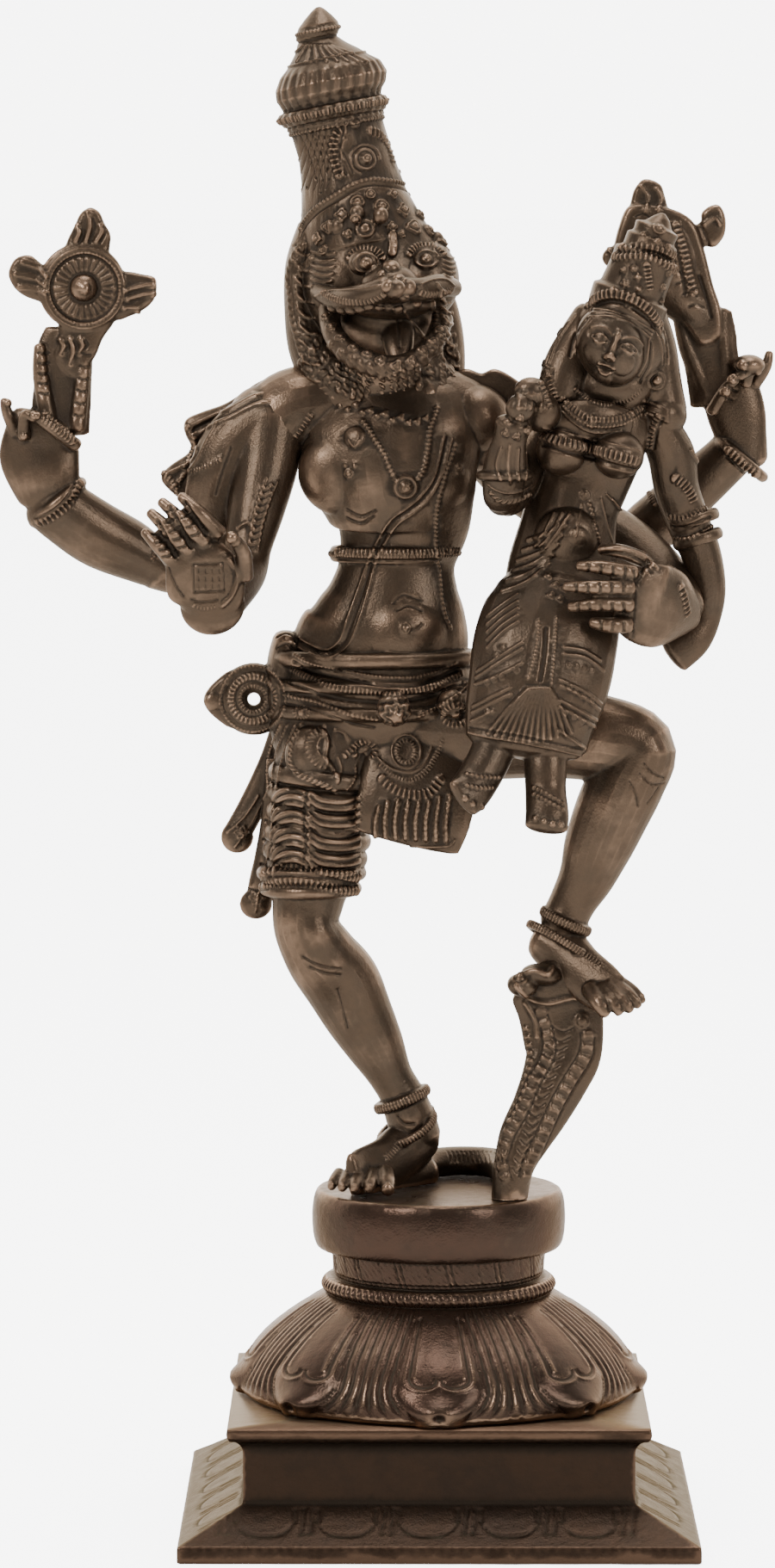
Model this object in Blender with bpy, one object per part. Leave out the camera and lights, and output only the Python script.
"""Cast bronze temple figure on a lotus pedestal and a square plinth.

A four-armed lion-faced figure stands on one bent leg. Its raised foot rests on a rearing serpent, and a
goddess sits on its raised thigh. The group is one casting, joined to a turned lotus pedestal that sits
on a square plinth. Units are metres, +Z is up, and the figure faces -Y.

The figure's free forms are rows of shares, in thousandths of FIGURE_HEIGHT. In a row, x runs to the
right of the plinth's centre, y away from the front and z up from the top of the standing disc. A limb's
row ends with its half width, seen from the front, and its half depth.
"""

import math

import bmesh
import bpy
from mathutils import Matrix, Vector

# Driving dimensions of the figure
FIGURE_HEIGHT = 0.3585
FUSING_VOXEL = 0.0011
FIGURE_TRIANGLES = 6900

# Driving dimensions of the plinth
PLINTH_WIDTH = 0.1556
PLINTH_DEPTH = 0.1460
PLINTH_BAND_HEIGHT = 0.005
PLINTH_SLOPE_HEIGHT = 0.0105
DADO_WIDTH = 0.1170
DADO_HEIGHT = 0.0150
COVE_HEIGHT = 0.0043
SLAB_WIDTH = 0.1266
SLAB_LIP = 0.0008
SLAB_THICKNESS = 0.0038
COVE_STEPS = 4
SLOPE_LEVEL = 1
TONGUES_PER_SIDE = 6
TONGUE_MARGIN = 0.0009
TONGUE_DEPTH = 0.0004

# Driving dimensions of the lotus pedestal
LOTUS_DIAMETER = 0.1200
LOTUS_BULGE = 1.9
LOTUS_HEIGHT = 0.0310
LOTUS_TOP_DIAMETER = 0.0690
PETALS = 8
PETAL_RELIEF = 0.0022
PETAL_CURL = 0.0032
RING_DIAMETER = 0.0720
RING_HEIGHT = 0.0048
NECK_DIAMETER = 0.0640
NECK_FLARE = 0.0010
NECK_HEIGHT = 0.0090
DISC_DIAMETER = 0.0775
DISC_HEIGHT = 0.0180
DISC_ROUNDING = 0.075
DISC_TURN = math.radians(80)
DISC_STEPS = 5
PEDESTAL_COLUMNS = 96
PEDESTAL_TRIANGLES = 2600

JOINT_GAP = 0.0003

# Carving of the lotus: shares of one petal's width or of the lotus's height
LEAF_HALF_WIDTH = 0.16
LEAF_BELLY = 0.16
LEAF_EDGE_HEIGHT = 0.35
FLUTES_BETWEEN = 2
FLUTE_HEIGHT = 0.22
TIP_HALF_WIDTH = 0.14
TIP_HEIGHT = 0.25
LOTUS_ROWS = 11
LOTUS_EDGE = 0.0012

# Carving of the figure, in shares like the rows below
CROWN_RIBS = 16
CROWN_RIB_DEPTH = 2.2
CROWN_RIB_HEIGHTS = (904, 951)
MANE_LOCKS = 8
MANE_LOCK_RADIUS = 5
BEARD_LOCKS = 9
BEARD_LOCK_LENGTH = 24
PLEATS = 7
PLEAT_RADIUS = 4
PLEAT_WIDTH = 76
SKIRT_PLEATS = 5
SKIRT_PLEAT_RADIUS = 3.5
SHAWL_FOLDS = 6
SHAWL_FOLD_RADIUS = 5

# Placing of the locks: shares of the mane's or jaw's half width and half depth, and drops
LOCK_ROOT = (-0.4, -0.8, 8)
LOCK_BELLY = (0.4, -0.9, -4)
LOCK_TIP = (1.0, -0.4, -18)
BEARD_ROOT = (-0.7, 4)
BEARD_BELLY = (-0.6, -10)
BEARD_TIP_SETBACK = 12

# Placing of the pleats and folds
PLEAT_SETBACK = 0.5
SKIRT_FAN_START = 0.1
SKIRT_FAN_STEP = 0.12
FOLD_ROOT_X = -128
FOLD_ROOT_Z = (672, 610)
FOLD_TIP_X = -196
FOLD_TIP_BULGE = 12
FOLD_TIP_Z = (656, 554)
FOLD_TIP_SETBACK = 2

CUT_TOLERANCE = 1e-7

# Rounding of a limb's ends: (shift along, share of the section)
END_ROUNDING = ((-0.85, 0.5), (-0.5, 0.85))
END_REACH = 0.6
LEAST_TURN = 0.15

PLINTH_HEIGHT = PLINTH_BAND_HEIGHT + PLINTH_SLOPE_HEIGHT + DADO_HEIGHT + COVE_HEIGHT + SLAB_THICKNESS
PEDESTAL_HEIGHT = LOTUS_HEIGHT + RING_HEIGHT + NECK_HEIGHT + DISC_HEIGHT
PEDESTAL_FOOT = PLINTH_HEIGHT + JOINT_GAP
DISC_TOP = PEDESTAL_FOOT + PEDESTAL_HEIGHT
FIGURE_FOOT = DISC_TOP + JOINT_GAP

# Trunk and legs of the main figure
TORSO = (
    (-44, 6, 382, 48, 39),
    (-53, 6, 416, 73, 45),
    (-51, 3, 450, 76, 45),
    (-43, 0, 475, 70, 44),
    (-39, 0, 497, 62, 40),
    (-37, 0, 516, 53, 36),
    (-35, 0, 537, 49, 33),
    (-31, 0, 565, 57, 36),
    (-33, -6, 585, 65, 40),
    (-38, -8, 611, 73, 44),
    (-41, -6, 636, 79, 42),
    (-44, 0, 658, 77, 36),
    (-47, 6, 676, 58, 32),
    (-49, 0, 690, 41, 32),
    (-50, 0, 720, 36, 31),
)
STANDING_LEG = (
    (-81, 6, 409, 54, 45),
    (-90, 0, 377, 49, 44),
    (-96, -6, 340, 44, 41),
    (-104, -8, 300, 40, 39),
    (-108, -8, 271, 38, 36),
    (-111, -11, 247, 31, 31),
    (-112, -14, 224, 28, 28),
    (-100, -11, 200, 31, 27),
    (-83, 0, 176, 33, 27),
    (-69, 6, 148, 30, 25),
    (-54, 8, 120, 25, 21),
    (-41, 11, 94, 19, 18),
    (-31, 14, 76, 19, 19),
    (-24, 17, 57, 21, 22),
    (-17, 20, 38, 20, 20),
)
STANDING_FOOT = (
    (-15, 25, 39, 19, 19),
    (-30, 8, 30, 23, 18),
    (-44, -11, 22, 22, 12),
    (-63, -33, 15, 23, 8),
    (-72, -45, 13, 22, 7),
)
STANDING_SOLE = (
    (-12, 26, 8, 15, 16),
    (-30, 8, 6, 19, 14),
    (-47, -11, 5, 22, 12),
    (-66, -38, 4, 22, 10),
)
BENT_LEG = (
    (-31, 0, 395, 44, 41),
    (34, -14, 392, 42, 38),
    (92, -31, 392, 39, 36),
    (134, -42, 388, 37, 35),
    (166, -47, 379, 33, 30),
    (158, -47, 353, 33, 30),
    (146, -45, 326, 32, 29),
    (134, -42, 296, 29, 26),
    (125, -39, 271, 24, 22),
    (113, -36, 248, 20, 19),
    (104, -36, 229, 20, 20),
)
BENT_FOOT = (
    (90, -31, 215, 19, 19),
    (104, -39, 206, 23, 19),
    (118, -53, 193, 22, 14),
    (136, -67, 180, 21, 10),
    (147, -75, 174, 18, 7),
)
STANDING_TOES = (
    ((-46, -33, 20), (-42, -53, 13), (-41, -61, 8), 6.2),
    ((-54, -39, 20), (-59, -59, 14), (-60, -67, 10), 4.7),
    ((-63, -42, 20), (-70, -61, 14), (-73, -67, 11), 4.7),
    ((-72, -42, 20), (-80, -59, 16), (-83, -61, 13), 4.4),
    ((-78, -36, 20), (-85, -50, 18), (-89, -53, 14), 4.0),
)
BENT_TOES = (
    ((127, -73, 180), (134, -89, 170), (141, -92, 159), 6.2),
    ((137, -75, 180), (146, -89, 170), (153, -92, 160), 4.7),
    ((142, -75, 182), (154, -89, 173), (161, -89, 162), 4.7),
    ((147, -73, 184), (160, -84, 176), (167, -84, 164), 4.4),
    ((148, -67, 188), (163, -75, 178), (171, -75, 167), 4.0),
)

# Arms and hands of the main figure
FRONT_RIGHT_ARM = (
    (-142, -3, 653, 31, 28),
    (-147, -14, 615, 28, 25),
    (-154, -28, 579, 24, 23),
    (-160, -39, 550, 20, 20),
    (-162, -53, 527, 17, 19),
    (-174, -95, 511, 17, 17),
    (-187, -139, 498, 17, 14),
)
BACK_RIGHT_ARM = (
    (-134, 39, 649, 25, 23),
    (-184, 50, 575, 25, 24),
    (-229, 36, 529, 21, 21),
    (-240, 33, 530, 21, 21),
    (-264, 28, 543, 26, 24),
    (-291, 17, 557, 28, 23),
    (-319, 8, 577, 27, 20),
    (-329, 6, 587, 27, 19),
)
FRONT_LEFT_ARM = (
    (28, 6, 655, 31, 28),
    (64, 39, 605, 26, 25),
    (112, 45, 572, 25, 23),
    (155, 17, 550, 25, 20),
    (185, -22, 526, 23, 19),
    (200, -61, 500, 22, 18),
    (188, -84, 499, 24, 15),
)
BACK_LEFT_ARM = (
    (26, 45, 652, 26, 23),
    (94, 73, 585, 25, 24),
    (150, 67, 540, 22, 22),
    (182, 56, 562, 24, 22),
    (215, 47, 592, 23, 21),
    (247, 39, 622, 21, 18),
    (256, 36, 634, 23, 16),
)
FRONT_RIGHT_PALM = (
    (-192, -145, 496, 15, 13),
    (-190, -156, 511, 29, 11),
    (-193, -162, 528, 33, 10),
    (-198, -167, 545, 28, 8),
    (-200, -167, 554, 24, 7),
)
BACK_RIGHT_PALM = (
    (-331, 6, 590, 26, 17),
    (-334, 0, 606, 31, 14),
    (-338, 0, 626, 34, 12),
    (-338, -3, 643, 29, 9),
    (-334, -3, 655, 25, 8),
)
BACK_LEFT_PALM = (
    (259, 36, 619, 21, 16),
    (257, 33, 637, 22, 13),
    (253, 31, 657, 25, 11),
    (248, 31, 675, 25, 10),
    (244, 31, 686, 22, 8),
)
FRONT_LEFT_PALM = (
    (202, -67, 496, 21, 17),
    (191, -95, 500, 33, 13),
    (174, -112, 506, 36, 11),
    (159, -120, 516, 30, 9),
)
FINGERS = (
    ((-181, -167, 567), (-197, -173, 584), (-212, -167, 597), 6.2),
    ((-193, -170, 560), (-211, -176, 578), (-228, -170, 593), 6.2),
    ((-206, -170, 552), (-223, -176, 571), (-237, -170, 584), 6.2),
    ((-216, -167, 541), (-230, -173, 556), (-242, -167, 568), 5.8),
    ((-160, -162, 531), (-161, -173, 551), (-171, -179, 566), 6.6),
    ((-329, -3, 653), (-336, -3, 690), (-337, -3, 716), 6.9),
    ((-306, 0, 647), (-302, 0, 683), (-298, 0, 711), 7.3),
    ((-357, -6, 643), (-364, -8, 660), (-367, -8, 671), 5.1),
    ((-350, -14, 640), (-348, -22, 659), (-340, -28, 656), 5.1),
    ((-306, -11, 633), (-324, -22, 647), (-340, -25, 658), 5.5),
    ((228, 31, 675), (212, 31, 710), (204, 31, 736), 7.6),
    ((245, 31, 682), (241, 31, 719), (241, 31, 745), 7.6),
    ((268, 28, 684), (277, 25, 698), (280, 25, 710), 5.1),
    ((259, 17, 684), (264, 11, 699), (270, 6, 694), 5.1),
    ((231, 14, 661), (245, 6, 684), (260, 6, 694), 5.1),
    ((160, -126, 532), (134, -134, 537), (115, -131, 538), 6.2),
    ((158, -128, 520), (129, -139, 521), (104, -134, 521), 6.2),
    ((157, -128, 506), (130, -137, 507), (108, -131, 504), 6.2),
    ((156, -123, 489), (140, -131, 489), (126, -128, 491), 6.6),
    ((167, -114, 543), (148, -123, 550), (133, -120, 551), 6.2),
)

# Head, mane and tall crown of the main figure
MANE_LEFT = (
    (-108, 11, 815, 12, 22),
    (-118, 11, 784, 12, 25),
    (-115, 11, 748, 16, 26),
    (-107, 8, 713, 20, 26),
    (-88, 0, 686, 25, 25),
    (-67, -11, 670, 25, 22),
)
MANE_RIGHT = (
    (-11, 17, 806, 9, 19),
    (-6, 14, 770, 12, 23),
    (-14, 11, 730, 16, 25),
    (-12, 8, 701, 18, 25),
    (-2, 6, 676, 22, 23),
    (-17, -11, 669, 26, 22),
)
LIP_LEFT = (
    (-102, -33, 763, 7, 7), (-87, -61, 757, 9, 10), (-67, -86, 758, 11, 11),
    (-44, -103, 767, 10, 10),
)
LIP_RIGHT = (
    (-40, -103, 767, 10, 10), (-17, -92, 765, 10, 11), (-1, -73, 768, 10, 10),
    (11, -50, 766, 8, 9),
)
JAW = (
    (-93, -33, 747, 9, 10),
    (-89, -56, 729, 9, 10),
    (-77, -75, 714, 10, 10),
    (-58, -89, 704, 10, 10),
    (-38, -95, 701, 10, 9),
    (-20, -86, 707, 9, 9),
    (-5, -70, 721, 9, 9),
    (3, -45, 740, 9, 9),
)
CROWN = (
    (-62, 803, 56), (-67, 820, 51), (-72, 840, 45), (-76, 862, 41), (-80, 880, 39),
    (-86, 900, 39), (-88, 908, 43),
    (-90, 915, 47), (-90, 920, 44), (-91, 924, 42), (-91, 930, 46), (-91, 939, 47),
    (-92, 949, 42), (-94, 955, 35),
    (-96, 961, 29), (-99, 967, 22), (-102, 972, 18), (-103, 976, 18), (-102, 980, 19),
    (-102, 986, 17),
    (-102, 992, 12), (-102, 998, 6), (-102, 1001, 2),
)
CROWN_Y = 11
CROWN_TILT = 11

# The goddess, turned a little toward the main figure
GODDESS_BODY = (
    (97, -73, 477, 50, 33),
    (102, -73, 506, 50, 32),
    (103, -70, 534, 46, 29),
    (107, -67, 563, 41, 27),
    (111, -64, 584, 39, 25),
    (119, -61, 606, 40, 25),
    (127, -61, 631, 43, 27),
    (131, -61, 652, 48, 26),
    (136, -61, 672, 42, 22),
    (140, -64, 686, 25, 18),
    (143, -67, 699, 18, 17),
)
GODDESS_SKIRT = (
    (98, -78, 513, 50, 32),
    (95, -86, 496, 57, 33),
    (88, -100, 470, 60, 33),
    (83, -109, 443, 59, 31),
    (76, -114, 415, 55, 28),
    (72, -117, 390, 51, 24),
)
GODDESS_NEAR_LEG = (
    (51, -112, 401, 19, 16),
    (42, -123, 379, 18, 15),
    (33, -131, 363, 18, 14),
    (25, -142, 352, 18, 11),
    (19, -151, 347, 17, 6),
)
GODDESS_FAR_LEG = (
    (88, -112, 401, 19, 16),
    (88, -123, 373, 18, 15),
    (88, -128, 352, 17, 14),
    (89, -142, 333, 18, 11),
    (88, -151, 323, 18, 7),
)
GODDESS_NEAR_ARM = (
    (92, -61, 657, 17, 16),
    (75, -67, 628, 18, 16),
    (61, -84, 601, 19, 16),
    (53, -100, 595, 17, 15),
    (54, -117, 619, 18, 15),
    (58, -128, 643, 14, 12),
    (61, -134, 655, 16, 11),
)
GODDESS_FAR_ARM = (
    (180, -56, 654, 17, 19),
    (194, -50, 627, 20, 19),
    (199, -47, 598, 19, 18),
    (210, -42, 567, 18, 17),
    (220, -39, 543, 17, 16),
    (226, -39, 514, 15, 14),
    (223, -39, 490, 14, 12),
    (213, -45, 472, 16, 10),
    (197, -50, 459, 17, 8),
)
GODDESS_CROWN = (
    (151, 739, 30), (155, 747, 33), (159, 760, 33), (160, 763, 28), (167, 780, 27),
    (172, 793, 27), (173, 795, 22),
    (177, 806, 22), (178, 808, 18), (181, 816, 19), (182, 818, 12), (185, 824, 7), (186, 828, 2),
)
GODDESS_CROWN_Y = -67
GODDESS_CROWN_TILT = -22

# Serpent, emblems and cloth
SERPENT = (
    (59, -64, -6, 15, 15),
    (63, -64, 25, 17, 13),
    (72, -61, 50, 22, 13),
    (86, -59, 75, 25, 13),
    (99, -56, 103, 29, 13),
    (105, -53, 124, 33, 12),
    (103, -50, 155, 36, 12),
    (98, -50, 178, 38, 13),
    (92, -47, 192, 30, 14),
)
SERPENT_COIL = (
    (-20, 25, 10), (-12, 50, 10), (14, 68, 10), (44, 62, 10), (58, 30, 10), (60, -20, 9),
    (60, -58, 8),
)
SERPENT_COIL_RADIUS = 14
CENTRE_CLOTH = (
    (-11, -22, 393, 48, 16), (-16, -39, 354, 50, 13), (-22, -47, 322, 49, 9),
    (-27, -47, 301, 45, 6),
)
SASH_INNER = (
    (-134, 18, 362, 12, 7), (-140, 20, 310, 12, 7), (-145, 22, 281, 12, 7), (-150, 22, 259, 12, 7),
    (-155, 22, 237, 11, 7),
)
SASH_OUTER = (
    (-132, 22, 392, 11, 7), (-141, 28, 365, 11, 6), (-151, 28, 340, 12, 6), (-162, 28, 318, 12, 6),
    (-171, 28, 302, 12, 6),
)
RIGHT_HAND_WEB = (
    (-321, 2, 645, 26, 7), (-318, 2, 680, 25, 5), (-316, 2, 712, 24, 5), (-313, 2, 728, 20, 5),
)
LEFT_HAND_WEB = (
    (240, 30, 672, 28, 8), (232, 31, 700, 24, 7), (228, 31, 722, 25, 7), (225, 31, 742, 24, 6),
)
HIP_FLANK = (
    (-128, 6, 468, 13, 22), (-131, 6, 446, 15, 25), (-129, 8, 412, 16, 29),
    (-123, 8, 379, 18, 32),
)
SHAWL_OUTLINE = (
    (-105, 679), (-122, 687), (-142, 689), (-154, 685), (-167, 676), (-182, 667), (-199, 661),
    (-213, 655),
    (-216, 648), (-214, 640), (-210, 632), (-213, 625), (-225, 617), (-233, 610), (-235, 603),
    (-229, 595),
    (-221, 588), (-212, 577), (-208, 558), (-200, 545), (-183, 530), (-161, 537), (-140, 590),
    (-100, 640),
)
SHAWL_OUTLINE_LEFT = (
    (5, 665), (11, 690), (23, 697), (36, 693), (47, 697), (62, 690), (72, 679), (63, 655),
    (34, 645),
)
BOW_CENTRE = (-157, 6, 417)
BOW_RADIUS = 18
BOW_HALF_WIDTH = 13
BOW_HALF_DEPTH = 8
BOW_POINT = ((-172, 440), (-190, 432), (-200, 416), (-190, 401), (-172, 394))
CHAKRA_CENTRE = (-301, 0, 766)
CHAKRA_TURNING = ((0, 11), (6, 9), (12, 5), (26, 5), (30, 7), (37, 6))
FLAME_TOP = (
    (-316, 788), (-314, 803), (-311, 810), (-306, 820), (-302, 828), (-294, 833), (-286, 829),
    (-282, 820),
    (-277, 811), (-277, 803), (-283, 788),
)
FLAME_LEFT = (
    (-330, 778), (-339, 789), (-346, 793), (-357, 790), (-363, 779), (-361, 770), (-355, 762),
    (-344, 756),
    (-328, 754),
)
FLAME_RIGHT = (
    (-275, 776), (-262, 779), (-251, 777), (-241, 775), (-238, 770), (-239, 758), (-246, 749),
    (-259, 742),
    (-275, 740),
)
FLAME_BOTTOM = (
    (-316, 740), (-320, 723), (-325, 706), (-307, 688), (-291, 706), (-284, 722), (-274, 742),
)
CONCH_OUTLINE = (
    (150, 775), (147, 791), (153, 819), (163, 835), (192, 833), (214, 822), (224, 799),
    (232, 768), (239, 746),
    (239, 724), (222, 716), (206, 735), (190, 750), (178, 756),
)
CONCH_FLAME_TOP = (
    (163, 825), (163, 841), (167, 851), (174, 857), (185, 854), (190, 847), (192, 825),
)
CONCH_FLAME_RIGHT = (
    (206, 812), (221, 820), (222, 828), (229, 834), (237, 835), (242, 827), (243, 816),
    (240, 806), (230, 799),
)
CONCH_FLAME_LEFT = ((168, 808), (152, 802), (142, 798), (138, 790), (144, 782), (160, 778))
EMBLEM_Y_LEFT = 31
CONCH_HALF_THICKNESS = 10
FLAME_HALF_THICKNESS = 5
SHAWL_Y = 26
SHAWL_HALF_THICKNESS = 8

# Rounded masses: centre, half sizes across, deep and high, and the turn in the picture plane in degrees
MASSES = (
    ((-33, -22, 465), (43, 32, 32), 0),
    ((-79, -28, 613), (35, 19, 32), 0),
    ((-11, -28, 607), (35, 19, 32), 0),
    ((-146, 0, 656), (37, 31, 33), 0),
    ((31, 0, 660), (32, 29, 31), 0),
    ((-56, 0, 774), (61, 48, 67), 0),
    ((-41, -73, 769), (24, 22, 17), 0),
    ((-37, -120, 766), (9, 7, 8), 0),
    ((-64, -66, 787), (12, 11, 11), 0),
    ((-17, -64, 790), (11, 11, 10), 0),
    ((-60, -60, 803), (20, 10, 6), 8),
    ((-18, -58, 805), (18, 10, 6), -8),
    ((-2, -6, 802), (7, 7, 11), 0),
    ((-38, -62, 415), (14, 10, 14), 0),
    ((10, -48, 418), (11, 9, 12), 0),
    ((100, -92, 633), (20, 16, 18), 0),
    ((149, -92, 630), (20, 16, 18), 0),
    ((141, -92, 718), (27, 24, 34), -22),
    ((150, -67, 722), (38, 30, 42), -22),
    ((180, -58, 692), (15, 16, 34), 0),
    ((187, -56, 660), (20, 20, 18), 0),
    ((112, -64, 710), (13, 16, 24), 0),
    ((98, -72, 699), (17, 14, 19), 0),
    ((75, -134, 683), (14, 10, 11), 0),
    ((66, -138, 668), (12, 10, 12), 0),
    ((68, -66, 182), (11, 10, 10), 0),
    ((262, 13, 700), (14, 14, 9), 0),
    ((-172, 28, 297), (14, 6, 14), 0),
    ((-156, 22, 240), (14, 6, 13), 0),
    ((-74, 34, 716), (24, 22, 66), 4),
    ((-38, 38, 706), (26, 24, 76), 0),
    ((-2, 32, 714), (24, 21, 66), -4),
    ((-43, -46, 731), (37, 30, 24), 0),
)

# Belts, hems, bracelets and anklets: centre, radius across, radius deep, thickness, and the tilt and
# lean in degrees
HOOPS = (
    ((-56, 3, 452), 83, 52, 8, 0, 0),
    ((-55, 3, 430), 84, 54, 7, 0, 0),
    ((-52, 3, 408), 82, 53, 8, 0, 0),
    ((-39, 0, 541), 52, 36, 5, 0, 0),
    ((-108, -8, 270), 41, 39, 6, 0, 0),
    ((-109, -9, 257), 38, 37, 6, 0, 0),
    ((-96, -6, 352), 47, 44, 4, -6, 0),
    ((-98, -6, 335), 46, 43, 4, -6, 0),
    ((-100, -7, 318), 45, 42, 4, -6, 0),
    ((-103, -8, 301), 44, 41, 4, -6, 0),
    ((-105, -8, 286), 43, 40, 4, -6, 0),
    ((-30, 14, 73), 24, 23, 6, 24, 0),
    ((-26, 12, 48), 24, 24, 4, 28, 16),
    ((107, -36, 232), 22, 22, 6, -25, 0),
    ((104, -38, 213), 30, 26, 4, -38, -10),
    ((-325, 6, 588), 25, 21, 6, -42, 0),
    ((257, 36, 627), 24, 20, 6, 58, 0),
    ((-181, -138, 499), 20, 17, 5, -30, 60),
    ((201, -66, 503), 17, 20, 5, 80, 0),
    ((54, -112, 612), 20, 18, 4, 0, 0),
    ((200, -48, 606), 22, 21, 5, -20, 0),
    ((222, -41, 556), 20, 19, 4, -8, 0),
)


def smooth_rows(rows, steps):
    """Return rows with `steps` Catmull-Rom spans between each neighbouring pair."""
    padded = [rows[0], *rows, rows[-1]]
    result = []
    for index in range(len(rows) - 1):
        before, start, end, after = padded[index:index + 4]
        for step in range(steps):
            t = step / steps
            row = []
            for a, b, c, d in zip(before, start, end, after):
                curve = 2 * b + (c - a) * t + (2 * a - 5 * b + 4 * c - d) * t ** 2
                row.append(0.5 * (curve + (3 * b - a - 3 * c + d) * t ** 3))
            result.append(tuple(row))
    result.append(tuple(rows[-1]))
    return result


def skin_rings(forms, rings, start_pole, end_pole):
    """Skin a stack of equal rings and close both ends on their poles."""
    loops = [[forms.verts.new(point) for point in ring] for ring in rings]
    sides = len(loops[0])
    for lower, upper in zip(loops, loops[1:]):
        for side in range(sides):
            following = (side + 1) % sides
            forms.faces.new((lower[side], lower[following], upper[following], upper[side]))
    for pole_point, loop, order in ((start_pole, loops[0], 1), (end_pole, loops[-1], -1)):
        pole = forms.verts.new(pole_point)
        for side in range(sides):
            following = (side + 1) % sides
            corners = (pole, loop[following], loop[side])
            forms.faces.new(corners if order == 1 else corners[::-1])


def limb(forms, rows, sides=16, steps=4):
    """Loft an elliptical limb through its station rows, with rounded ends."""
    stations = smooth_rows(rows, steps)
    points = [Vector(row[:3]) for row in stations]
    rings = []
    ends = []
    across = Vector((1, 0, 0))
    for index, row in enumerate(stations):
        along = (points[min(index + 1, len(points) - 1)] - points[max(index - 1, 0)]).normalized()
        sideways = along.cross(Vector((0, 1, 0)))
        if sideways.length < LEAST_TURN:
            sideways = across - along * across.dot(along)
        sideways.normalize()
        if sideways.dot(across) < 0:
            sideways.negate()
        across = sideways
        deep = along.cross(sideways)
        half_width, half_depth = row[3], row[4]
        shifts = [(0.0, 1.0)]
        reach = END_REACH * min(half_width, half_depth)
        if index == 0:
            shifts = [*END_ROUNDING, (0.0, 1.0)]
            ends.append(points[0] - along * reach)
        elif index == len(stations) - 1:
            shifts = [(0.0, 1.0), *((-shift, scale) for shift, scale in reversed(END_ROUNDING))]
            ends.append(points[-1] + along * reach)
        for shift, scale in shifts:
            centre = points[index] + along * shift * reach
            ring = []
            for side in range(sides):
                angle = 2 * math.pi * side / sides
                offset = sideways * math.cos(angle) * half_width + deep * math.sin(angle) * half_depth
                ring.append(centre + offset * scale)
            rings.append(ring)
    skin_rings(forms, rings, ends[0], ends[1])


def finger(forms, joints, taper=(1.1, 1.0, 0.7)):
    """Make one finger or toe from three joint points and a radius."""
    rows = [(*joint, joints[3] * scale, joints[3] * scale) for joint, scale in zip(joints, taper)]
    limb(forms, rows, sides=10, steps=3)


def cord(forms, points, radius):
    """Make a thin round strand through its points."""
    limb(forms, [(*point, radius, radius) for point in points], sides=8, steps=2)


def along_rows(rows, share):
    """Return the station at a share of the way along a limb's rows."""
    place = share * (len(rows) - 1)
    index = min(int(place), len(rows) - 2)
    rest = place - index
    return [a + (b - a) * rest for a, b in zip(rows[index], rows[index + 1])]


def rib_depth(height, angle):
    """Return how far the crown's ribs stand out at a height and an angle."""
    low, high = CROWN_RIB_HEIGHTS
    return CROWN_RIB_DEPTH * math.cos(CROWN_RIBS * angle) if low < height < high else 0.0


def headdress(forms, rows, middle_y, tilt, sides=48, ribbed=False):
    """Stack round courses, given as (x, z, radius), that lean to one side by `tilt` degrees."""
    lean = math.radians(tilt)
    rings = []
    for x, z, radius in rows:
        ring = []
        for side in range(sides):
            angle = 2 * math.pi * side / sides
            reach = radius + rib_depth(z, angle) if ribbed else radius
            across = reach * math.cos(angle)
            deep = middle_y + reach * math.sin(angle)
            ring.append(Vector((x + across * math.cos(lean), deep, z + across * math.sin(lean))))
        rings.append(ring)
    first, last = rows[0], rows[-1]
    start = Vector((first[0], middle_y, first[1]))
    end = Vector((last[0], middle_y, last[1]))
    skin_rings(forms, rings, start, end)


def mass(forms, centre, half_sizes, turn, sides=20, rows=10):
    """Make an ellipsoid, turned in the picture plane."""
    rotation = Matrix.Rotation(math.radians(turn), 3, "Y")
    rings = []
    for row in range(1, rows):
        polar = math.pi * row / rows
        ring = []
        for side in range(sides):
            angle = 2 * math.pi * side / sides
            out = math.sin(polar)
            around = (out * math.cos(angle), out * math.sin(angle), -math.cos(polar))
            scaled = Vector([unit * half for unit, half in zip(around, half_sizes)])
            ring.append(Vector(centre) + rotation @ scaled)
        rings.append(ring)
    top = rotation @ Vector((0, 0, half_sizes[2]))
    skin_rings(forms, rings, Vector(centre) - top, Vector(centre) + top)


def hoop(forms, centre, across, deep, thickness, tilt, lean, sides=8, segments=28):
    """Make an elliptical ring, tilted in the picture plane and leaned toward the front."""
    tilting = Matrix.Rotation(math.radians(-tilt), 3, "Y")
    rotation = tilting @ Matrix.Rotation(math.radians(lean), 3, "X")
    loops = []
    for segment in range(segments):
        angle = 2 * math.pi * segment / segments
        outward = Vector((math.cos(angle), math.sin(angle), 0))
        middle = Vector((across * math.cos(angle), deep * math.sin(angle), 0))
        loop = []
        for side in range(sides):
            turn = 2 * math.pi * side / sides
            point = middle + (outward * math.cos(turn) + Vector((0, 0, math.sin(turn)))) * thickness
            loop.append(forms.verts.new(Vector(centre) + rotation @ point))
        loops.append(loop)
    for segment in range(segments):
        here, there = loops[segment], loops[(segment + 1) % segments]
        for side in range(sides):
            following = (side + 1) % sides
            forms.faces.new((here[side], here[following], there[following], there[side]))


def plate(forms, outline, middle_y, half_thickness):
    """Make a flat plate of an (x, z) outline that faces the front."""
    front = [forms.verts.new((x, middle_y - half_thickness, z)) for x, z in outline]
    back = [forms.verts.new((x, middle_y + half_thickness, z)) for x, z in outline]
    forms.faces.new(front)
    forms.faces.new(back[::-1])
    for index in range(len(outline)):
        following = (index + 1) % len(outline)
        forms.faces.new((front[index], front[following], back[following], back[index]))


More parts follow.
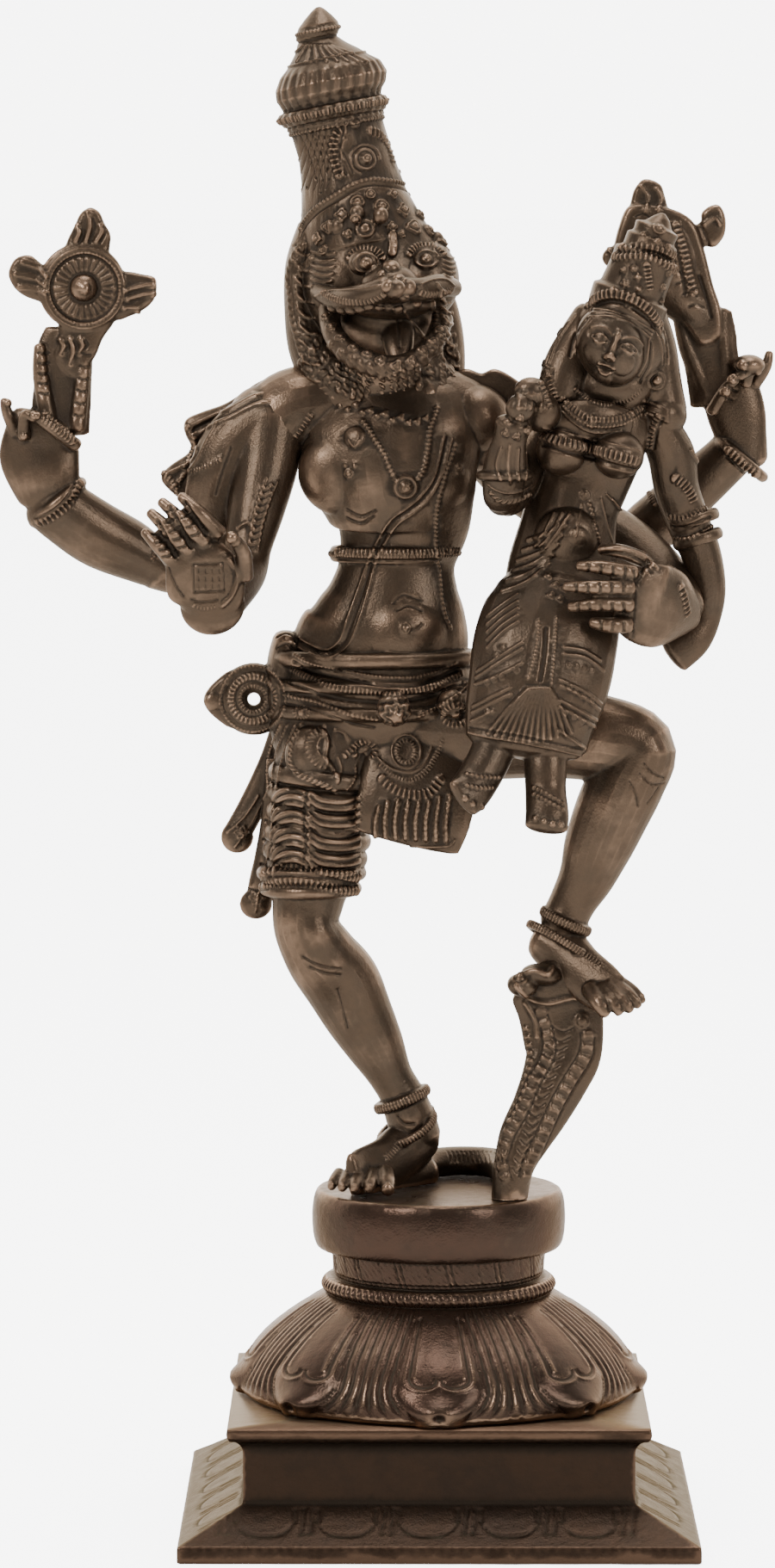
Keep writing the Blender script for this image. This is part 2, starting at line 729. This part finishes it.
def disc_turning(forms, centre, profile, sides=32):
    """Make a disc that faces the front, from (radius, half thickness) pairs out from its centre."""
    front = [(radius, -half) for radius, half in profile[1:]]
    back = [(radius, half) for radius, half in reversed(profile[1:])]
    middle = Vector(centre)
    rings = []
    for radius, depth in front + back:
        ring = []
        for side in range(sides):
            angle = 2 * math.pi * side / sides
            ring.append(middle + Vector((radius * math.cos(angle), depth, radius * math.sin(angle))))
        rings.append(ring)
    hub = Vector((0, profile[0][1], 0))
    skin_rings(forms, rings, middle - hub, middle + hub)


def body_forms(forms):
    """Add the trunk, head, limbs, hands and feet of the main figure."""
    for rows in (TORSO, STANDING_LEG, STANDING_FOOT, STANDING_SOLE, BENT_LEG, BENT_FOOT):
        limb(forms, rows)
    for rows in (FRONT_RIGHT_ARM, BACK_RIGHT_ARM, FRONT_LEFT_ARM, BACK_LEFT_ARM):
        limb(forms, rows)
    for rows in (FRONT_RIGHT_PALM, BACK_RIGHT_PALM, BACK_LEFT_PALM, FRONT_LEFT_PALM):
        limb(forms, rows)
    for joints in (*FINGERS, *STANDING_TOES, *BENT_TOES):
        finger(forms, joints)
    for rows in (MANE_LEFT, MANE_RIGHT, LIP_LEFT, LIP_RIGHT, JAW):
        limb(forms, rows)
    headdress(forms, CROWN, CROWN_Y, CROWN_TILT, sides=96, ribbed=True)


def hair_forms(forms):
    """Add the locks down both sides of the mane and the beard's locks under the jaw."""
    for rows, outward in ((MANE_LEFT, -1), (MANE_RIGHT, 1)):
        for lock in range(MANE_LOCKS):
            x, y, z, half_width, half_depth = along_rows(rows, lock / (MANE_LOCKS - 1))
            points = []
            for aside, forward, rise in (LOCK_ROOT, LOCK_BELLY, LOCK_TIP):
                points.append((x + outward * half_width * aside, y + half_depth * forward, z + rise))
            cord(forms, points, MANE_LOCK_RADIUS)
    for lock in range(BEARD_LOCKS):
        x, y, z, half_width, half_depth = along_rows(JAW, lock / (BEARD_LOCKS - 1))
        root = (x, y + half_depth * BEARD_ROOT[0], z + BEARD_ROOT[1])
        belly = (x, y + half_depth * BEARD_BELLY[0], z + BEARD_BELLY[1])
        tip = (x, y + BEARD_TIP_SETBACK, z - BEARD_LOCK_LENGTH)
        cord(forms, (root, belly, tip), MANE_LOCK_RADIUS)


def goddess_forms(forms):
    """Add the goddess on the raised thigh."""
    for rows in (GODDESS_BODY, GODDESS_SKIRT, GODDESS_NEAR_LEG, GODDESS_FAR_LEG):
        limb(forms, rows)
    for rows in (GODDESS_NEAR_ARM, GODDESS_FAR_ARM):
        limb(forms, rows)
    headdress(forms, GODDESS_CROWN, GODDESS_CROWN_Y, GODDESS_CROWN_TILT)


def emblem_forms(forms):
    """Add the wheel on the back right hand and the flaming conch on the back left hand."""
    disc_turning(forms, CHAKRA_CENTRE, CHAKRA_TURNING)
    for outline in (FLAME_TOP, FLAME_LEFT, FLAME_RIGHT, FLAME_BOTTOM):
        plate(forms, outline, CHAKRA_CENTRE[1], FLAME_HALF_THICKNESS)
    plate(forms, CONCH_OUTLINE, EMBLEM_Y_LEFT, CONCH_HALF_THICKNESS)
    for outline in (CONCH_FLAME_TOP, CONCH_FLAME_RIGHT, CONCH_FLAME_LEFT):
        plate(forms, outline, EMBLEM_Y_LEFT, FLAME_HALF_THICKNESS)


def bow_loop(points=12):
    """Return the rows of the side bow's round loop, which faces the front."""
    x, y, z = BOW_CENTRE
    rows = []
    for index in range(points + 1):
        angle = 2 * math.pi * index / points
        place = (x + BOW_RADIUS * math.cos(angle), y, z + BOW_RADIUS * math.sin(angle))
        rows.append((*place, BOW_HALF_WIDTH, BOW_HALF_DEPTH))
    return rows


def cloth_forms(forms):
    """Add the shawl, sashes, bow, belts and other rings."""
    for rows in (CENTRE_CLOTH, SASH_INNER, SASH_OUTER, HIP_FLANK, RIGHT_HAND_WEB, LEFT_HAND_WEB):
        limb(forms, rows)
    plate(forms, SHAWL_OUTLINE, SHAWL_Y, SHAWL_HALF_THICKNESS)
    plate(forms, SHAWL_OUTLINE_LEFT, SHAWL_Y, SHAWL_HALF_THICKNESS)
    limb(forms, bow_loop(), sides=10)
    plate(forms, BOW_POINT, BOW_CENTRE[1], FLAME_HALF_THICKNESS)
    for ring in HOOPS:
        hoop(forms, *ring)
    for pleat in range(PLEATS):
        aside = (pleat / (PLEATS - 1) - 0.5) * PLEAT_WIDTH
        edge = 1 - (2 * aside / PLEAT_WIDTH) ** 2
        stand_out = PLEAT_SETBACK + (1 - PLEAT_SETBACK) * edge
        points = [(row[0] + aside, row[1] - row[4] * stand_out, row[2]) for row in CENTRE_CLOTH]
        cord(forms, points, PLEAT_RADIUS)
    for pleat in range(SKIRT_PLEATS):
        aside = (pleat / (SKIRT_PLEATS - 1) - 0.5) * 2
        points = []
        for station, row in enumerate(GODDESS_SKIRT[1:]):
            spread = (SKIRT_FAN_START + SKIRT_FAN_STEP * station) * aside
            front = row[1] - row[4] * math.sqrt(1 - spread ** 2)
            points.append((row[0] + row[3] * spread, front, row[2]))
        cord(forms, points, SKIRT_PLEAT_RADIUS)
    for fold in range(SHAWL_FOLDS):
        share = fold / (SHAWL_FOLDS - 1)
        front = SHAWL_Y - SHAWL_HALF_THICKNESS
        root_z = FOLD_ROOT_Z[0] + (FOLD_ROOT_Z[1] - FOLD_ROOT_Z[0]) * share
        tip_x = FOLD_TIP_X - FOLD_TIP_BULGE * math.sin(math.pi * share)
        tip_z = FOLD_TIP_Z[0] + (FOLD_TIP_Z[1] - FOLD_TIP_Z[0]) * share
        root = (FOLD_ROOT_X, front, root_z)
        tip = (tip_x, front + FOLD_TIP_SETBACK, tip_z)
        cord(forms, (root, tip), SHAWL_FOLD_RADIUS)


def serpent_forms(forms):
    """Add the rearing serpent and the coil of its tail on the standing disc."""
    limb(forms, SERPENT)
    coil = [(*point, SERPENT_COIL_RADIUS, SERPENT_COIL_RADIUS) for point in SERPENT_COIL]
    limb(forms, coil, sides=12)


def evaluated_mesh(obj):
    """Return an object's mesh, as its modifiers leave it, in a new bmesh."""
    bpy.context.view_layer.update()
    evaluated = obj.evaluated_get(bpy.context.evaluated_depsgraph_get())
    result = bmesh.new()
    result.from_mesh(evaluated.to_mesh())
    evaluated.to_mesh_clear()
    return result


def shells(surface):
    """Return the surface's separate shells as lists of faces."""
    unseen = set(surface.faces)
    groups = []
    while unseen:
        front = [unseen.pop()]
        group = list(front)
        while front:
            near = {other for edge in front.pop().edges for other in edge.link_faces}
            fresh = near & unseen
            unseen -= fresh
            front.extend(fresh)
            group.extend(fresh)
        groups.append(group)
    return groups


def keep_largest_shell(surface):
    """Delete loose bits and sealed inner hollows, so one outer skin stays."""
    groups = sorted(shells(surface), key=len)
    for group in groups[:-1]:
        bmesh.ops.delete(surface, geom=group, context="FACES")
    loose = [vert for vert in surface.verts if not vert.link_faces]
    bmesh.ops.delete(surface, geom=loose, context="VERTS")


def flatten_underside(surface, level):
    """Cut the surface level and close the cut, for feet that stand flat."""
    everything = [*surface.verts, *surface.edges, *surface.faces]
    bmesh.ops.bisect_plane(
        surface, geom=everything, dist=CUT_TOLERANCE,
        plane_co=(0, 0, level), plane_no=(0, 0, -1), clear_outer=True
    )
    open_edges = [edge for edge in surface.edges if edge.is_boundary]
    bmesh.ops.holes_fill(surface, edges=open_edges)
    bmesh.ops.triangulate(surface, faces=surface.faces[:])
    bmesh.ops.recalc_face_normals(surface, faces=surface.faces[:])


def bronze(name, colour, roughness):
    """Return a patinated bronze material."""
    material = bpy.data.materials.new(name)
    material.use_nodes = True
    shader = material.node_tree.nodes["Principled BSDF"]
    shader.inputs["Base Color"].default_value = (*colour, 1)
    shader.inputs["Metallic"].default_value = 1.0
    shader.inputs["Roughness"].default_value = roughness
    return material


def new_object(name, surface, material):
    """Put a bmesh into the scene as a named, smooth-shaded object."""
    mesh = bpy.data.meshes.new(name)
    surface.to_mesh(mesh)
    surface.free()
    mesh.materials.append(material)
    mesh.shade_smooth()
    obj = bpy.data.objects.new(name, mesh)
    bpy.context.collection.objects.link(obj)
    return obj


def fuse(obj, voxel, triangles):
    """Fuse an object's overlapping forms into one skin of about `triangles` faces."""
    remesh = obj.modifiers.new("Fuse", "REMESH")
    remesh.mode = "VOXEL"
    remesh.voxel_size = voxel
    remesh.adaptivity = 0
    soften = obj.modifiers.new("Soften", "SMOOTH")
    soften.factor = 0.5
    soften.iterations = 3
    skin = evaluated_mesh(obj)
    obj.modifiers.clear()
    keep_largest_shell(skin)
    bmesh.ops.triangulate(skin, faces=skin.faces[:])
    count = len(skin.faces)
    skin.to_mesh(obj.data)
    skin.free()
    thin = obj.modifiers.new("Thin", "DECIMATE")
    thin.ratio = triangles / count
    result = evaluated_mesh(obj)
    obj.modifiers.clear()
    return result


def figure_group(material):
    """Build the whole cast group, standing flat on the disc."""
    forms = bmesh.new()
    body_forms(forms)
    hair_forms(forms)
    for centre, half_sizes, turn in MASSES:
        mass(forms, centre, half_sizes, turn)
    goddess_forms(forms)
    emblem_forms(forms)
    cloth_forms(forms)
    serpent_forms(forms)
    share = FIGURE_HEIGHT / 1000
    bmesh.ops.scale(forms, vec=(share, share, share), verts=forms.verts)
    bmesh.ops.translate(forms, vec=(0, 0, FIGURE_FOOT), verts=forms.verts)
    bmesh.ops.recalc_face_normals(forms, faces=forms.faces[:])
    obj = new_object("figure_group", forms, material)
    skin = fuse(obj, FUSING_VOXEL, FIGURE_TRIANGLES)
    flatten_underside(skin, FIGURE_FOOT)
    keep_largest_shell(skin)
    skin.to_mesh(obj.data)
    skin.free()
    obj.data.shade_smooth()
    return obj


def pedestal_profile():
    """Return the pedestal's (radius, height) pairs, bottom to top, and how many belong to the lotus."""
    bottom, top = LOTUS_DIAMETER / 2, LOTUS_TOP_DIAMETER / 2
    lotus = [(bottom - PETAL_CURL / 2, PEDESTAL_FOOT)]
    for row in range(LOTUS_ROWS):
        rise = row / (LOTUS_ROWS - 1)
        radius = top + (bottom - top) * (1 - rise ** LOTUS_BULGE)
        lotus.append((radius, PEDESTAL_FOOT + LOTUS_EDGE + (LOTUS_HEIGHT - LOTUS_EDGE) * rise))
    ring_foot = PEDESTAL_FOOT + LOTUS_HEIGHT
    ring_reach = RING_DIAMETER / 2 - top
    ring = []
    for turn in (0.25, 0.5, 0.75):
        ring.append((top + ring_reach * math.sin(math.pi * turn), ring_foot + RING_HEIGHT * turn))
    neck_foot = ring_foot + RING_HEIGHT
    disc_foot = neck_foot + NECK_HEIGHT
    neck = [(NECK_DIAMETER / 2, neck_foot), (NECK_DIAMETER / 2 + NECK_FLARE, disc_foot)]
    disc = []
    for step in range(DISC_STEPS + 1):
        angle = DISC_TURN * (2 * step / DISC_STEPS - 1)
        radius = DISC_DIAMETER / 2 * (1 - DISC_ROUNDING * (1 - math.cos(angle)))
        disc.append((radius, disc_foot + DISC_HEIGHT / 2 * (1 + math.sin(angle) / math.sin(DISC_TURN))))
    return lotus + ring + neck + disc, len(lotus)


def petal_swell(angle, rise):
    """Return how far the lotus stands out at an angle and a share of its height."""
    place = (angle + math.pi / 2) * PETALS / (2 * math.pi)
    across = abs((place + 0.5) % 1.0 - 0.5)
    fade = math.sqrt(math.sin(math.pi * min(1.0, 0.2 + 0.8 * rise)))
    leaf_half = LEAF_HALF_WIDTH + LEAF_BELLY * math.sin(math.pi * min(1.0, 0.12 + 0.75 * rise))
    if across < leaf_half:
        dome = math.sqrt(1 - (across / leaf_half) ** 2)
        relief = LEAF_EDGE_HEIGHT + (1 - LEAF_EDGE_HEIGHT) * dome
    else:
        flute = (across - leaf_half) / (0.5 - leaf_half)
        relief = FLUTE_HEIGHT * math.cos(flute * 2 * math.pi * FLUTES_BETWEEN)
    tip = math.exp(-(across / TIP_HALF_WIDTH) ** 2) * max(0.0, 1 - rise / TIP_HEIGHT)
    return PETAL_RELIEF * fade * relief + PETAL_CURL * tip


def lotus_pedestal(material):
    """Build the disc, neck, ring and lotus as one turned piece with petals."""
    profile, lotus_rows = pedestal_profile()
    surface = bmesh.new()
    rings = []
    for index, (radius, height) in enumerate(profile):
        rise = (height - PEDESTAL_FOOT) / LOTUS_HEIGHT
        ring = []
        for column in range(PEDESTAL_COLUMNS):
            angle = 2 * math.pi * column / PEDESTAL_COLUMNS - math.pi / 2
            reach = radius + petal_swell(angle, rise) if index < lotus_rows else radius
            ring.append(Vector((reach * math.cos(angle), reach * math.sin(angle), height)))
        rings.append(ring)
    skin_rings(surface, rings, Vector((0, 0, PEDESTAL_FOOT)), Vector((0, 0, DISC_TOP)))
    bmesh.ops.recalc_face_normals(surface, faces=surface.faces[:])
    obj = new_object("lotus_pedestal", surface, material)
    thin = obj.modifiers.new("Thin", "DECIMATE")
    thin.ratio = PEDESTAL_TRIANGLES / (2 * PEDESTAL_COLUMNS * len(profile))
    return obj


def plinth_courses():
    """Return the plinth's mitred courses, bottom to top, as (half width, half depth, height)."""
    foot = (PLINTH_WIDTH / 2, PLINTH_DEPTH / 2)
    dado = (DADO_WIDTH / 2, DADO_WIDTH / 2)
    slab = SLAB_WIDTH / 2
    slope_top = PLINTH_BAND_HEIGHT + PLINTH_SLOPE_HEIGHT
    cove_foot = slope_top + DADO_HEIGHT
    cove_reach = slab - SLAB_LIP - dado[0]
    courses = [(*foot, 0.0), (*foot, PLINTH_BAND_HEIGHT), (*dado, slope_top), (*dado, cove_foot)]
    for step in range(1, COVE_STEPS + 1):
        turn = math.pi / 2 * step / COVE_STEPS
        reach = dado[0] + cove_reach * (1 - math.cos(turn))
        courses.append((reach, reach, cove_foot + COVE_HEIGHT * math.sin(turn)))
    slab_foot = cove_foot + COVE_HEIGHT + SLAB_LIP
    return courses + [(slab, slab, slab_foot), (slab, slab, PLINTH_HEIGHT)]


def square_plinth(material):
    """Build the plinth, with a row of sunk tongues on its sloping foot."""
    surface = bmesh.new()
    loops = []
    for half_width, half_depth, height in plinth_courses():
        signs = ((-1, -1), (1, -1), (1, 1), (-1, 1))
        loops.append([surface.verts.new((x * half_width, y * half_depth, height)) for x, y in signs])
    rails = []
    for level, (lower, upper) in enumerate(zip(loops, loops[1:])):
        for side in range(4):
            following = (side + 1) % 4
            face = surface.faces.new((lower[side], lower[following], upper[following], upper[side]))
            if level == SLOPE_LEVEL:
                rails.append([face.edges[0], face.edges[2]])
    surface.faces.new(loops[0][::-1])
    surface.faces.new(loops[-1])
    for rail in rails:
        bmesh.ops.subdivide_edges(surface, edges=rail, cuts=TONGUES_PER_SIDE - 1, use_grid_fill=True)
    surface.normal_update()
    low, high = PLINTH_BAND_HEIGHT, PLINTH_BAND_HEIGHT + PLINTH_SLOPE_HEIGHT
    tongues = [face for face in surface.faces if low < face.calc_center_median().z < high]
    bmesh.ops.inset_individual(surface, faces=tongues, thickness=TONGUE_MARGIN, depth=-TONGUE_DEPTH)
    bmesh.ops.recalc_face_normals(surface, faces=surface.faces[:])
    obj = new_object("square_plinth", surface, material)
    obj.data.set_sharp_from_angle(angle=math.radians(30))
    return obj


def main():
    """Clear the scene and build the three castings."""
    for obj in list(bpy.data.objects):
        bpy.data.objects.remove(obj)
    square_plinth(bronze("plinth_bronze", (0.085, 0.047, 0.036), 0.42))
    lotus_pedestal(bronze("pedestal_bronze", (0.100, 0.050, 0.036), 0.38))
    figure_group(bronze("figure_bronze", (0.095, 0.055, 0.038), 0.40))


main()
